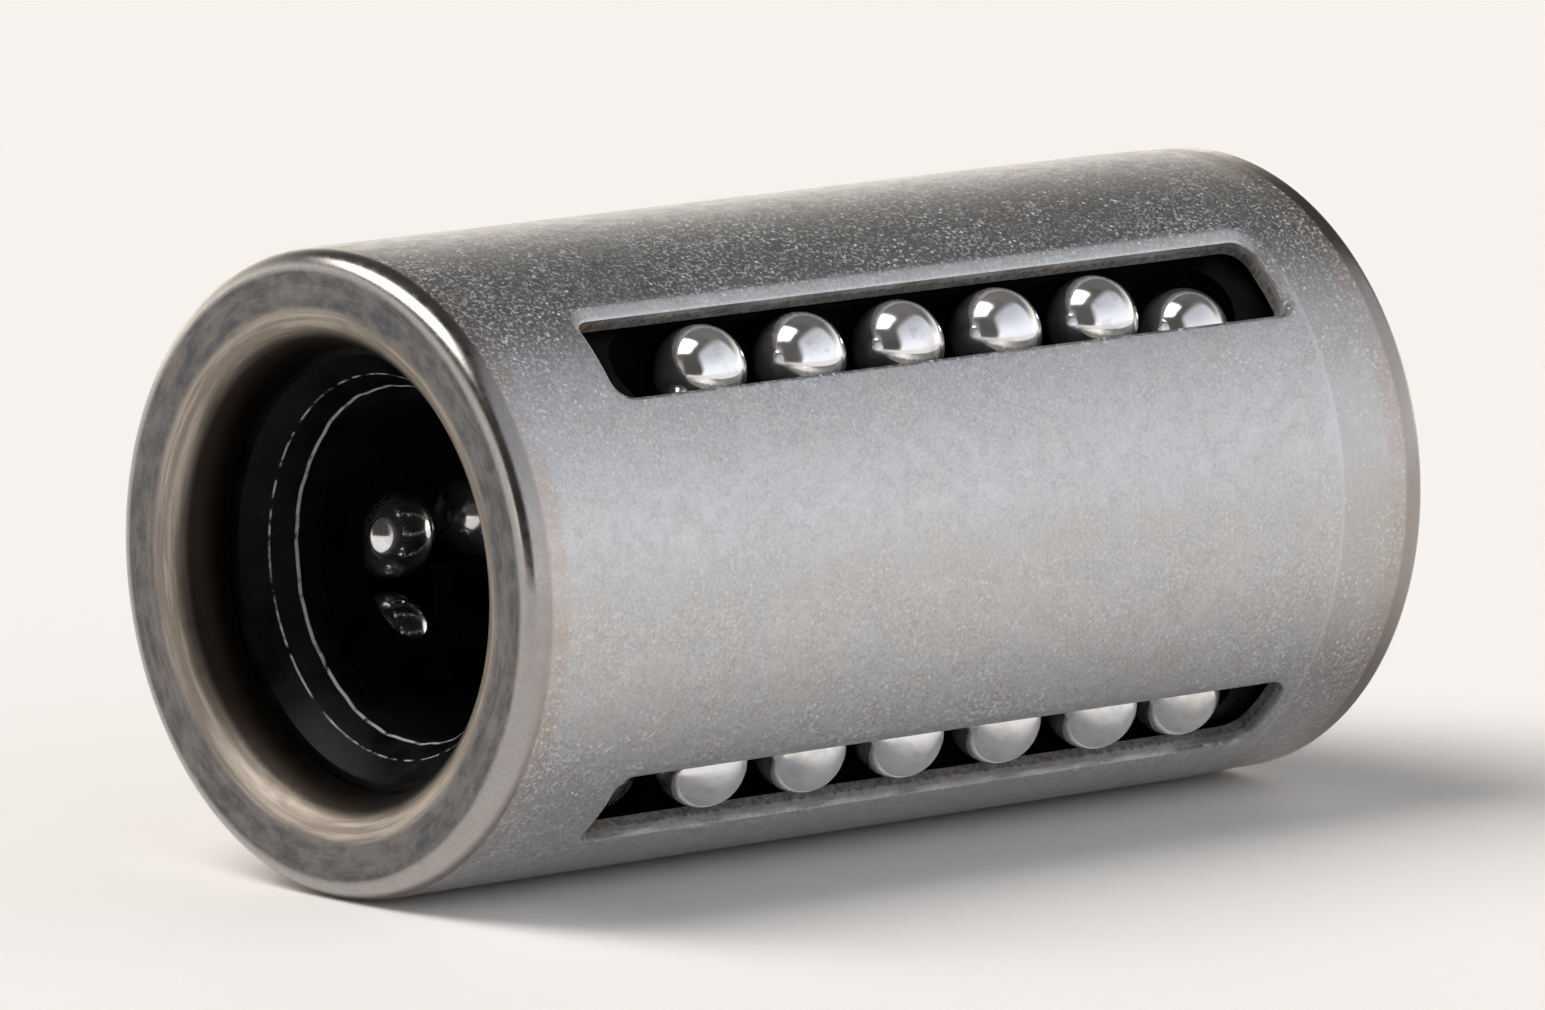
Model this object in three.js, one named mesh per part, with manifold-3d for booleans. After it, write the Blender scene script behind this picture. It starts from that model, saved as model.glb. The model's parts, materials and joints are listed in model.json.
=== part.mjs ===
// Linear ball bushing for a 6 mm shaft: a drawn steel sleeve, a moulded ball cage held by two end
// rings, and four recirculating circuits of steel balls. Millimetres, +Z up, the shaft axis along X.
// The origin is the middle of the bore. The front face is at -X.

import * as THREE from 'three';
import { mergeVertices } from 'three/addons/utils/BufferGeometryUtils.js';
import Module from 'manifold-3d';

const wasm = await Module();
wasm.setup();

// Driving dimensions
const SHAFT_DIAMETER = 6;
const OUTSIDE_DIAMETER = 12;
const LENGTH = 22;
const BALL_DIAMETER = 1.75;
const CIRCUITS = 4;

// Sleeve
const WALL = 0.45;
const END_FILLET = 0.36;
const FACE_INNER_RADIUS = 5.05;
const OPENING_RADIUS = 4.12;
const LIP_DEPTH = 1.15;
const LIP_ROUND_DEPTH = 1;
const REAR_TAPER_LENGTH = 2.1;
const REAR_TAPER_DROP = 0.07;
const RACEWAY_CLEARANCE = 0.03;
const RACEWAY_HALF_ANGLE = 12;

// Windows in the sleeve wall, one over the return row of each circuit
const WINDOW_WIDTH = 1.83;
const WINDOW_LENGTH = 16.5;
const WINDOW_CORNER = 0.5;
const LOOP_MIDDLE_X = 0.33;

// Ball loops: the return row lies under its window, the loaded row is half a circuit further round
const RETURN_ROW_RADIUS = 5.1;
const FIRST_WINDOW_ANGLE = 45;
const LOADED_ROW_STEP = 45;
const LOOP_LENGTH = 13.44;
const BALL_PITCH = 2.414;
const ROW_BALLS = 5;
const FIRST_RETURN_BALL_X = -5;

// A ball that turns a corner follows an arc. Balls of the two upper circuits cut the corner, and
// balls of the two lower circuits hang against its outer wall.
const UPPER_CORNER = { arcRadius: 0.9, ballAngle: 60, endBall: 2.3 };
const LOWER_CORNER = { arcRadius: 0.5, ballAngle: 44.4, endBall: 2.1 };

// Cage and end rings
const CAGE_FIT = 0.12;
const CAGE_BORE_RADIUS = 3.45;
const CAGE_FRONT_X = -8.25;
const CAGE_REAR_X = 8.7;
const CHANNEL_PLAY = 0.035;
const GROOVE_PLAY_ANGLE = 1.5;
const RING_GAP = 0.1;
const RING_THROAT_RADIUS = 3.29;
const RING_THROAT_DEPTH = 0.85;
const RING_STEP_RADIUS = 3.56;
const RING_STEP_DEPTH = 0.41;
const RING_MOUTH_RADIUS = 3.96;

// Facets
const ROUND_SEGMENTS = 36;
const CHANNEL_SEGMENTS = 12;
const ARC_STEPS = 4;

const outerRadius = OUTSIDE_DIAMETER / 2;
const halfLength = LENGTH / 2;
const ballRadius = BALL_DIAMETER / 2;
const loadedRowRadius = SHAFT_DIAMETER / 2 + ballRadius;
const racewayRadius = loadedRowRadius + ballRadius + RACEWAY_CLEARANCE;
const wallInnerRadius = outerRadius - WALL;
const cageRadius = wallInnerRadius - CAGE_FIT;
const channelRadius = ballRadius + CHANNEL_PLAY;
const lipInnerX = halfLength - LIP_DEPTH;
const loopFrontX = LOOP_MIDDLE_X - LOOP_LENGTH / 2;
const loopRearX = LOOP_MIDDLE_X + LOOP_LENGTH / 2;
const racewayFrontX = loopFrontX + UPPER_CORNER.arcRadius;
const racewayRearX = loopRearX - UPPER_CORNER.arcRadius;

const steel = () => new THREE.MeshStandardMaterial({ color: 0x8b8b8d, metalness: 1, roughness: 0.42 });
const polishedSteel = () => new THREE.MeshStandardMaterial({ color: 0xc9cbcd, metalness: 1, roughness: 0.06 });
const blackPlastic = () => new THREE.MeshStandardMaterial({ color: 0x0b0b0c, metalness: 0, roughness: 0.35 });

const radians = (degrees) => THREE.MathUtils.degToRad(degrees);

// A direction across the axis: 0 degrees is +Z, and 90 degrees is -Y
const across = (degrees) => new THREE.Vector3(0, -Math.sin(radians(degrees)), Math.cos(radians(degrees)));

function signedVolume(position, index) {
  const a = new THREE.Vector3();
  const b = new THREE.Vector3();
  const c = new THREE.Vector3();
  let sum = 0;
  for (let i = 0; i < index.length; i += 3) {
    a.fromArray(position, index[i] * 3);
    b.fromArray(position, index[i + 1] * 3);
    c.fromArray(position, index[i + 2] * 3);
    sum += a.dot(b.cross(c));
  }
  return sum / 6;
}

// A closed geometry as a solid with its faces pointing out
function solidOf(geometry) {
  const bare = geometry.clone();
  bare.deleteAttribute('normal');
  bare.deleteAttribute('uv');
  const merged = mergeVertices(bare, 1e-4);
  const vertProperties = new Float32Array(merged.attributes.position.array);
  const triVerts = new Uint32Array(merged.index.array);
  if (signedVolume(vertProperties, triVerts) < 0) triVerts.reverse();
  return new wasm.Manifold(new wasm.Mesh({ numProp: 3, vertProperties, triVerts }));
}

function geometryOf(solid) {
  const mesh = solid.getMesh();
  const geometry = new THREE.BufferGeometry();
  geometry.setAttribute('position', new THREE.BufferAttribute(new Float32Array(mesh.vertProperties), 3));
  geometry.setIndex(new THREE.BufferAttribute(new Uint32Array(mesh.triVerts), 1));
  geometry.computeVertexNormals();
  return geometry;
}

const joined = (solids) => solids.reduce((whole, solid) => whole.add(solid));
const cut = (whole, cutters) => cutters.reduce((rest, cutter) => rest.subtract(cutter), whole);

// Turns a closed [x, radius] outline about the X axis, with flats facing up, down and to the sides.
// A flat is flatScale closer to the axis than its corners, so an outer surface is scaled up by it.
const flatScale = 1 / Math.cos(Math.PI / ROUND_SEGMENTS);

function turned(outline) {
  const points = [...outline, outline[0]].map(([x, radius]) => new THREE.Vector2(radius, x));
  const geometry = new THREE.LatheGeometry(points, ROUND_SEGMENTS, Math.PI / ROUND_SEGMENTS);
  geometry.rotateZ(-Math.PI / 2);
  return solidOf(geometry);
}

// Points along an elliptical quarter from one [x, radius] to another, leaving along the first's radius
function quarter(from, to) {
  const points = [];
  for (let i = 0; i <= ARC_STEPS; i++) {
    const angle = (i / ARC_STEPS) * (Math.PI / 2);
    const x = to[0] + (from[0] - to[0]) * Math.cos(angle);
    const radius = from[1] + (to[1] - from[1]) * Math.sin(angle);
    points.push([x, radius]);
  }
  return points;
}

// Extrudes a shape drawn in the YZ plane along X
function extrudedAlongX(shape, fromX, toX) {
  const geometry = new THREE.ExtrudeGeometry(shape, { depth: toX - fromX, bevelEnabled: false });
  const drawnInYZ = new THREE.Matrix4().makeBasis(
    new THREE.Vector3(0, 1, 0),
    new THREE.Vector3(0, 0, 1),
    new THREE.Vector3(1, 0, 0),
  );
  geometry.applyMatrix4(drawnInYZ);
  geometry.translate(fromX, 0, 0);
  return geometry;
}

// A bar whose section is part of a ring
function ringBar(innerRadius, outerRadiusOfBar, middleAngle, halfAngle, fromX, toX) {
  const shape = new THREE.Shape();
  const corner = (radius, i) => {
    const place = across(middleAngle - halfAngle + (2 * halfAngle * i) / ARC_STEPS).multiplyScalar(radius);
    return new THREE.Vector2(place.y, place.z);
  };
  const points = [];
  for (let i = 0; i <= ARC_STEPS; i++) points.push(corner(outerRadiusOfBar, i));
  for (let i = ARC_STEPS; i >= 0; i--) points.push(corner(innerRadius, i));
  shape.setFromPoints(points);
  return solidOf(extrudedAlongX(shape, fromX, toX));
}

// One circuit's own frame: the window faces out at windowAngle, and `down` runs from the return row
// to the loaded row. at(x, depth) is a point of the loop's flat plane.
function circuitFrame(number) {
  const windowAngle = FIRST_WINDOW_ANGLE + (number * 360) / CIRCUITS;
  const loadedAngle = windowAngle + LOADED_ROW_STEP;
  const returnRow = across(windowAngle).multiplyScalar(RETURN_ROW_RADIUS);
  const loadedRow = across(loadedAngle).multiplyScalar(loadedRowRadius);
  const rowDistance = returnRow.distanceTo(loadedRow);
  const down = loadedRow.clone().sub(returnRow).normalize();
  const at = (x, depth) => new THREE.Vector3(x, 0, 0).add(returnRow).addScaledVector(down, depth);
  return { windowAngle, loadedAngle, rowDistance, at };
}

function windowCutter(windowAngle) {
  const halfWidth = WINDOW_WIDTH / 2;
  const frontX = LOOP_MIDDLE_X - WINDOW_LENGTH / 2;
  const rearX = LOOP_MIDDLE_X + WINDOW_LENGTH / 2;
  const shape = new THREE.Shape();
  shape.moveTo(frontX + WINDOW_CORNER, -halfWidth);
  shape.absarc(rearX - WINDOW_CORNER, WINDOW_CORNER - halfWidth, WINDOW_CORNER, -Math.PI / 2, 0);
  shape.absarc(rearX - WINDOW_CORNER, halfWidth - WINDOW_CORNER, WINDOW_CORNER, 0, Math.PI / 2);
  shape.absarc(frontX + WINDOW_CORNER, halfWidth - WINDOW_CORNER, WINDOW_CORNER, Math.PI / 2, Math.PI);
  shape.absarc(frontX + WINDOW_CORNER, WINDOW_CORNER - halfWidth, WINDOW_CORNER, Math.PI, Math.PI * 1.5);
  const geometry = new THREE.ExtrudeGeometry(shape, {
    depth: outerRadius,
    bevelEnabled: false,
    curveSegments: ARC_STEPS,
  });
  geometry.translate(0, 0, cageRadius);
  geometry.rotateX(radians(windowAngle));
  return solidOf(geometry);
}

// The sleeve has a thin wall, two ends rolled in to a rounded mouth, a slight taper at the rear, and
// four thick bars inside that are the raceways of the loaded rows.
function sleeveGeometry() {
  const outside = outerRadius * flatScale;
  const inside = wallInnerRadius * flatScale;
  const taperEnd = outside - REAR_TAPER_DROP;
  const outline = [
    ...quarter([-halfLength, outside - END_FILLET], [-halfLength + END_FILLET, outside]),
    [halfLength - REAR_TAPER_LENGTH, outside],
    ...quarter([halfLength, taperEnd - END_FILLET], [halfLength - END_FILLET, taperEnd]).reverse(),
    ...quarter([halfLength, FACE_INNER_RADIUS], [halfLength - LIP_ROUND_DEPTH, OPENING_RADIUS]),
    [lipInnerX, OPENING_RADIUS],
    [lipInnerX, inside],
    [-lipInnerX, inside],
    [-lipInnerX, OPENING_RADIUS],
    ...quarter([-halfLength, FACE_INNER_RADIUS], [-halfLength + LIP_ROUND_DEPTH, OPENING_RADIUS]).reverse(),
  ];
  const parts = [turned(outline)];
  const cutters = [];
  for (let number = 0; number < CIRCUITS; number++) {
    const { windowAngle, loadedAngle } = circuitFrame(number);
    const barOuterRadius = outerRadius - WALL / 2;
    parts.push(
      ringBar(racewayRadius, barOuterRadius, loadedAngle, RACEWAY_HALF_ANGLE, racewayFrontX, racewayRearX),
    );
    cutters.push(windowCutter(windowAngle));
  }
  return geometryOf(cut(joined(parts), cutters));
}

// A round bar between two points
function bar(from, to, radius) {
  const along = to.clone().sub(from);
  const geometry = new THREE.CylinderGeometry(radius, radius, along.length(), CHANNEL_SEGMENTS);
  geometry.applyQuaternion(
    new THREE.Quaternion().setFromUnitVectors(new THREE.Vector3(0, 1, 0), along.clone().normalize()),
  );
  geometry.translate(...from.clone().add(to).multiplyScalar(0.5).toArray());
  return solidOf(geometry);
}

function knuckle(centre) {
  const geometry = new THREE.SphereGeometry(channelRadius, CHANNEL_SEGMENTS, CHANNEL_SEGMENTS / 2);
  geometry.translate(...centre.toArray());
  return solidOf(geometry);
}

// The closed channel that one circuit of balls runs in
function channelCutter(number) {
  const { rowDistance, at } = circuitFrame(number);
  const corners = [at(loopFrontX, 0), at(loopRearX, 0), at(loopRearX, rowDistance), at(loopFrontX, rowDistance)];
  const stretches = corners.map((corner, i) => bar(corner, corners[(i + 1) % corners.length], channelRadius));
  return joined([...stretches, ...corners.map(knuckle)]);
}

// The cage is a tube with a channel for each circuit and a groove for each raceway bar
function cageGeometry() {
  const blank = turned([
    [CAGE_FRONT_X, cageRadius],
    [CAGE_REAR_X, cageRadius],
    [CAGE_REAR_X, CAGE_BORE_RADIUS],
    [CAGE_FRONT_X, CAGE_BORE_RADIUS],
  ]);
  const cutters = [];
  for (let number = 0; number < CIRCUITS; number++) {
    const grooveFloor = racewayRadius - CAGE_FIT;
    const grooveHalfAngle = RACEWAY_HALF_ANGLE + GROOVE_PLAY_ANGLE;
    const { loadedAngle } = circuitFrame(number);
    cutters.push(channelCutter(number));
    cutters.push(
      ringBar(grooveFloor, outerRadius, loadedAngle, grooveHalfAngle, racewayFrontX - CAGE_FIT,
        racewayRearX + CAGE_FIT),
    );
  }
  return geometryOf(cut(blank, cutters));
}

// An end ring fills the space between the cage and the rolled lip, with a bevelled mouth for the shaft.
// side is -1 at the front and 1 at the rear; cageX is the cage's end face there.
function endRingGeometry(side, cageX) {
  const mouthX = lipInnerX - RING_GAP;
  const innerX = Math.abs(cageX) + RING_GAP;
  const outline = [
    [mouthX, cageRadius],
    [innerX, cageRadius],
    [innerX, RING_THROAT_RADIUS],
    [mouthX - RING_THROAT_DEPTH, RING_THROAT_RADIUS],
    [mouthX - RING_STEP_DEPTH, RING_STEP_RADIUS],
    [mouthX, RING_MOUTH_RADIUS],
  ].map(([x, radius]) => [x * side, radius]);
  return geometryOf(turned(outline));
}

// Where the balls of one circuit rest, as [x, depth] in its loop plane. The second half of the loop
// is the first half turned about the loop's middle.
function ballPlaces(number) {
  const { windowAngle, rowDistance } = circuitFrame(number);
  const hangsBelow = Math.cos(radians(windowAngle)) < 0;
  const { arcRadius, ballAngle, endBall } = hangsBelow ? LOWER_CORNER : UPPER_CORNER;
  const half = [];
  for (let i = 0; i < ROW_BALLS; i++) half.push([FIRST_RETURN_BALL_X + i * BALL_PITCH, 0]);
  const turn = radians(ballAngle);
  half.push([loopRearX - arcRadius + arcRadius * Math.sin(turn), arcRadius - arcRadius * Math.cos(turn)]);
  half.push([loopRearX, endBall]);
  const otherHalf = half.map(([x, depth]) => [2 * LOOP_MIDDLE_X - x, rowDistance - depth]);
  return [...half, ...otherHalf];
}

function node(name, geometry, material) {
  const mesh = new THREE.Mesh(geometry, material);
  mesh.name = name;
  return mesh;
}

const bushing = new THREE.Group();
bushing.add(node('outer_sleeve', sleeveGeometry(), steel()));
bushing.add(node('ball_cage', cageGeometry(), blackPlastic()));
bushing.add(node('front_end_ring', endRingGeometry(-1, CAGE_FRONT_X), blackPlastic()));
bushing.add(node('rear_end_ring', endRingGeometry(1, CAGE_REAR_X), blackPlastic()));

for (let number = 0; number < CIRCUITS; number++) {
  const circuit = new THREE.Group();
  const { at } = circuitFrame(number);
  ballPlaces(number).forEach(([x, depth], i) => {
    const name = `circuit_${number + 1}_ball_${String(i + 1).padStart(2, '0')}`;
    const ball = node(name, new THREE.IcosahedronGeometry(ballRadius, 1), polishedSteel());
    ball.position.copy(at(x, depth));
    circuit.add(ball);
  });
  bushing.add(circuit);
}

export default bushing;
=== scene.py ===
"""A linear ball bushing for a 6 mm shaft: the looks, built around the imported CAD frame.

Shapes are worked out in millimetres, along X with the front face at -X, and stored in metres.
"""

import json
import math

import bmesh
import bpy
from mathutils import Matrix, Vector


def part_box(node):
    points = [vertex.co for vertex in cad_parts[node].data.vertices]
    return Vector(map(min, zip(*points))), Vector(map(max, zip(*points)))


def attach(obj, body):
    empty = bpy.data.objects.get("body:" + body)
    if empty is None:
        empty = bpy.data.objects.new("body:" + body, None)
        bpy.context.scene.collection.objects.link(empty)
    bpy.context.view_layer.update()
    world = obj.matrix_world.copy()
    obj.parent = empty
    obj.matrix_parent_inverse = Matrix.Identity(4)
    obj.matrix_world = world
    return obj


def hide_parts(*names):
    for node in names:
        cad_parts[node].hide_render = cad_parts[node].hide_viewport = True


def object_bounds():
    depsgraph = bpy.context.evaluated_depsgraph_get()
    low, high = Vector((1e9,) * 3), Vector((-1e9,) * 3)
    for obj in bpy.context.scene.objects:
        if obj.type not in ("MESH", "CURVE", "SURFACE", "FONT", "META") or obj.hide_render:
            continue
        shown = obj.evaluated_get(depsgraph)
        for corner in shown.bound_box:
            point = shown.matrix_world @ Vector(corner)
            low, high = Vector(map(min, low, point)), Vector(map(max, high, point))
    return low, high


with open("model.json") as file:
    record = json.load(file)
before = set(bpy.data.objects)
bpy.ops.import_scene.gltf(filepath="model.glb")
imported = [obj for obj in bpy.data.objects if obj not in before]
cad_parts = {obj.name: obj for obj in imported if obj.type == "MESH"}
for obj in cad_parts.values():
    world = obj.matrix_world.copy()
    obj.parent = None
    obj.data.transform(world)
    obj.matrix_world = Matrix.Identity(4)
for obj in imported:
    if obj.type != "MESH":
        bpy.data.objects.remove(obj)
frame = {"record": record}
cad_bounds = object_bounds()

MM = 0.001
CIRCUITS = 4
BALLS_IN_CIRCUIT = 14

# One ball from each stretch of a loop
RETURN_BALL = 1
REAR_END_BALL = 7
LOADED_BALL = 8
FRONT_END_BALL = 14


# ---------------------------------------------------------------- camera

CAMERA_AZIMUTH = -40.9
CAMERA_ELEVATION = 8.93
CAMERA_DISTANCE = 298.37 * MM
CAMERA_LENS = 371.7
CAMERA_SENSOR = 36
AIM_LEFT = 0.086 * MM
AIM_UP = 0.192 * MM


def towards(azimuth, elevation):
    """Unit vector from the object to a place round it. Azimuth 0 is the -Y side and 90 the +X side."""
    a, e = math.radians(azimuth), math.radians(elevation)
    return Vector((math.sin(a) * math.cos(e), -math.cos(a) * math.cos(e), math.sin(e)))


def make_camera():
    data = bpy.data.cameras.new("camera")
    data.lens = CAMERA_LENS
    data.sensor_width = CAMERA_SENSOR
    data.clip_start = 0.01
    data.clip_end = 50
    camera = bpy.data.objects.new("camera", data)
    bpy.context.scene.collection.objects.link(camera)
    back = towards(CAMERA_AZIMUTH, CAMERA_ELEVATION)
    turn = back.to_track_quat("Z", "Y")
    right, up = turn @ Vector((1, 0, 0)), turn @ Vector((0, 1, 0))
    middle = (cad_bounds[0] + cad_bounds[1]) / 2
    camera.rotation_mode = "QUATERNION"
    camera.rotation_quaternion = turn
    camera.location = middle - right * AIM_LEFT + up * AIM_UP + back * CAMERA_DISTANCE
    bpy.context.scene.camera = camera


# ---------------------------------------------------------------- sizes, from the frame

def centre_mm(node):
    low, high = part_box(node)
    return (low + high) / 2 / MM


def angle_of(point):
    """Degrees round the axis: 0 is +Z and 90 is -Y."""
    return math.degrees(math.atan2(-point.y, point.z)) % 360


def across(degrees):
    a = math.radians(degrees)
    return Vector((0, -math.sin(a), math.cos(a)))


def ball_name(circuit, number):
    return f"circuit_{circuit}_ball_{number:02d}"


SLEEVE_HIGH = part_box("outer_sleeve")[1] / MM
OUTER = SLEEVE_HIGH.z
HALF = SLEEVE_HIGH.x
BALL_LOW, BALL_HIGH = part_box(ball_name(1, RETURN_BALL))
BALL_RADIUS = (BALL_HIGH - BALL_LOW).x / MM / 2
WINDOW_ANGLES = [angle_of(centre_mm(ball_name(c + 1, RETURN_BALL))) for c in range(CIRCUITS)]
QUARTER = 360 / CIRCUITS
LOOP_REAR = centre_mm(ball_name(1, REAR_END_BALL)).x
LOOP_FRONT = centre_mm(ball_name(1, FRONT_END_BALL)).x
LOOP_MIDDLE = (LOOP_REAR + LOOP_FRONT) / 2

# Sleeve: fillets are (length, depth), and the rings are radii or depths that get a row of points
WALL_INNER = 5.55
FRONT_FILLET = (0.46, 0.38)
REAR_FILLET = (0.18, 0.17)
END_START = HALF - 1.2
END_RINGS = (0.95, 0.7)
FACE_RINGS = (5.5, 5.25)
FACE_INNER = 5.15
OPENING = 4.12
MOUTH_DEPTH = 1.0
LIP_BACK = HALF - 1.15
LIP_EDGE = 0.03
LIP_RINGS = (4.6, 5.1)
TAPER_START = HALF - 2.1
TAPER_DROP = 0.04
RACEWAY_HALF_ANGLE = 12
RACEWAY_INNER = 4.78
RACEWAY_SIDE = 0.4
RACEWAY_STEP = 0.02
RACEWAY_START = LOOP_FRONT + 0.9
RACEWAY_END = LOOP_REAR - 0.9

# Windows: the edge is drawn down least at the first width and drop, and most at the second
WINDOW_HALF_WIDTH = 0.915
WINDOW_HALF_LENGTH = 8.3
WINDOW_CORNER = 0.4
WINDOW_FRONT = LOOP_MIDDLE - WINDOW_HALF_LENGTH
EDGE_ROUND = 0.02
ROLL_WIDTHS = (0.07, 0.28)
ROLL_DROPS = (0.02, 0.092)
ROLL_AT_REAR = 0.6
ROLL_CURVE = 1.3
ROLL_RINGS = 8
CUT_RADII = (WALL_INNER, 5.65, 5.75, 5.84, OUTER - ROLL_DROPS[1] - EDGE_ROUND)

# The rectangle of the sleeve's surface that each window is set in
PATCH_HALF_ANGLE = 16
PATCH_COLUMNS = 16
PATCH_FRONT = -8.4
PATCH_REAR = TAPER_START
PATCH_ROWS = 34

# Cage and end rings
CAGE_OUTER = 5.43
CAGE_BORE = 3.45
CAGE_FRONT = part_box("ball_cage")[0].x / MM
CAGE_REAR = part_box("ball_cage")[1].x / MM
CAGE_CHAMFER = 0.08
CHANNEL_RADIUS = 0.91
GROOVE_PLAY = 0.12
GROOVE_PLAY_ANGLE = 1.5
WELD_DISTANCE = 0.002
RING_GAP = 0.1
RING_CHAMFER = 0.1
RING_THROAT = 3.29
RING_STEP = 3.56
RING_MOUTH = 3.96
RING_FACE = LIP_BACK - RING_GAP
RING_THROAT_DEPTH = 0.85
RING_STEP_DEPTH = 0.41


# ---------------------------------------------------------------- mesh helpers

def between(start, end, share):
    return start + (end - start) * share


def piece_from(name, points, faces, materials, face_materials=None, sharp_degrees=38):
    """One smooth-shaded mesh object from points in millimetres."""
    mesh = bpy.data.meshes.new(name)
    mesh.from_pydata([Vector(p) * MM for p in points], [], faces)
    for material in materials:
        mesh.materials.append(material)
    if face_materials:
        mesh.polygons.foreach_set("material_index", face_materials)
    mesh.polygons.foreach_set("use_smooth", [True] * len(mesh.polygons))
    mesh.set_sharp_from_angle(angle=math.radians(sharp_degrees))
    mesh.update()
    obj = bpy.data.objects.new(name, mesh)
    bpy.context.scene.collection.objects.link(obj)
    return obj


def ellipse_quarter(start, end, steps):
    """Points from start to end, both (x, radius), that leave start along the radius and meet end along X."""
    points = []
    for i in range(steps + 1):
        a = math.pi / 2 * i / steps
        x = end[0] + (start[0] - end[0]) * math.cos(a)
        radius = start[1] + (end[1] - start[1]) * math.sin(a)
        points.append((x, radius))
    return points


def lathe(name, outline, segments, material, ripple=None):
    """A closed (x, radius) outline turned about the X axis. ripple(number, degrees) adds to a radius."""
    points, faces = [], []
    for i in range(segments):
        degrees = 360 * i / segments
        for number, (x, radius) in enumerate(outline):
            shift = ripple(number, degrees) if ripple else 0
            points.append(across(degrees) * (radius + shift) + Vector((x, 0, 0)))
    count = len(outline)
    for i in range(segments):
        after = (i + 1) % segments
        for j in range(count):
            k = (j + 1) % count
            faces.append((i * count + j, i * count + k, after * count + k, after * count + j))
    obj = piece_from(name, points, faces, [material])
    face_outwards(obj.data)
    return obj


def face_outwards(mesh):
    edit = bmesh.new()
    edit.from_mesh(mesh)
    bmesh.ops.recalc_face_normals(edit, faces=edit.faces)
    edit.to_mesh(mesh)
    edit.free()


# ---------------------------------------------------------------- node helpers

class Nodes:
    """Adds nodes to one tree and links them."""

    def __init__(self, tree):
        self.tree = tree
        tree.nodes.clear()

    def add(self, kind, inputs=None, **settings):
        node = self.tree.nodes.new(kind)
        for name, value in settings.items():
            setattr(node, name, value)
        for name, value in (inputs or {}).items():
            self.put(node.inputs[name], value)
        return node

    def put(self, socket, value):
        if isinstance(value, bpy.types.NodeSocket):
            self.tree.links.new(value, socket)
        else:
            socket.default_value = value

    def math(self, operation, a, b=0.0):
        return self.add("ShaderNodeMath", {0: a, 1: b}, operation=operation).outputs[0]

    def step(self, value, low, high, to_low=0.0, to_high=1.0):
        """A smooth step: to_low where value is under low, to_high where it is over high."""
        inputs = {"Value": value, "From Min": low, "From Max": high, "To Min": to_low, "To Max": to_high}
        return self.add("ShaderNodeMapRange", inputs, interpolation_type="SMOOTHSTEP").outputs["Result"]

    def band(self, value, low, high, soft):
        """1 between low and high, fading to 0 over soft on either side."""
        rise = self.step(value, low - soft, low)
        fall = self.step(value, high, high + soft, 1.0, 0.0)
        return self.math("MULTIPLY", rise, fall)

    def mix(self, factor, a, b):
        inputs = {0: factor, 6: a, 7: b}
        return self.add("ShaderNodeMix", inputs, data_type="RGBA").outputs[2]

    def noise(self, place, scale, detail=3.0, roughness=0.5):
        inputs = {"Vector": place, "Scale": scale, "Detail": detail, "Roughness": roughness}
        return self.add("ShaderNodeTexNoise", inputs).outputs["Fac"]

    def specks(self, place, scale, size):
        """1 in small random dots, 0 between them."""
        inputs = {"Vector": place, "Scale": scale}
        distance = self.add("ShaderNodeTexVoronoi", inputs).outputs["Distance"]
        return self.step(distance, size * 0.6, size, 1.0, 0.0)

    def scaled(self, place, x, y, z):
        return self.add("ShaderNodeVectorMath", {0: place, 1: (x, y, z)}, operation="MULTIPLY").outputs[0]

    def turned(self, place, degrees):
        angles = tuple(math.radians(d) for d in degrees)
        return self.add("ShaderNodeMapping", {"Vector": place, "Rotation": angles}).outputs[0]

    def place_mm(self):
        """The piece's own coordinates, in millimetres."""
        coordinates = self.add("ShaderNodeTexCoord").outputs["Object"]
        return self.scaled(coordinates, 1 / MM, 1 / MM, 1 / MM)

    def split(self, place):
        return self.add("ShaderNodeSeparateXYZ", {0: place}).outputs

    def axis_distance(self, parts):
        squares = self.math("ADD", self.math("POWER", parts[1], 2.0), self.math("POWER", parts[2], 2.0))
        return self.math("SQRT", squares)

    def drawn_round(self, parts, radius, fine, coarse):
        """A place for noise that is fine across the radius and coarse round the axis."""
        inputs = {0: self.math("MULTIPLY", radius, fine), 1: self.math("MULTIPLY", parts[1], coarse),
                  2: self.math("MULTIPLY", parts[2], coarse)}
        return self.add("ShaderNodeCombineXYZ", inputs).outputs[0]

    def bump(self, height, strength, distance):
        inputs = {"Height": height, "Strength": strength, "Distance": distance}
        return self.add("ShaderNodeBump", inputs).outputs[0]

    def surface(self, **sockets):
        inputs = {name.replace("_", " "): value for name, value in sockets.items()}
        shader = self.add("ShaderNodeBsdfPrincipled", inputs)
        self.add("ShaderNodeOutputMaterial", {"Surface": shader.outputs[0]})


def new_material(name):
    material = bpy.data.materials.new(name)
    material.use_nodes = True
    return material, Nodes(material.node_tree)


def grey(value):
    return (value, value, value, 1)


# ---------------------------------------------------------------- materials

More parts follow.
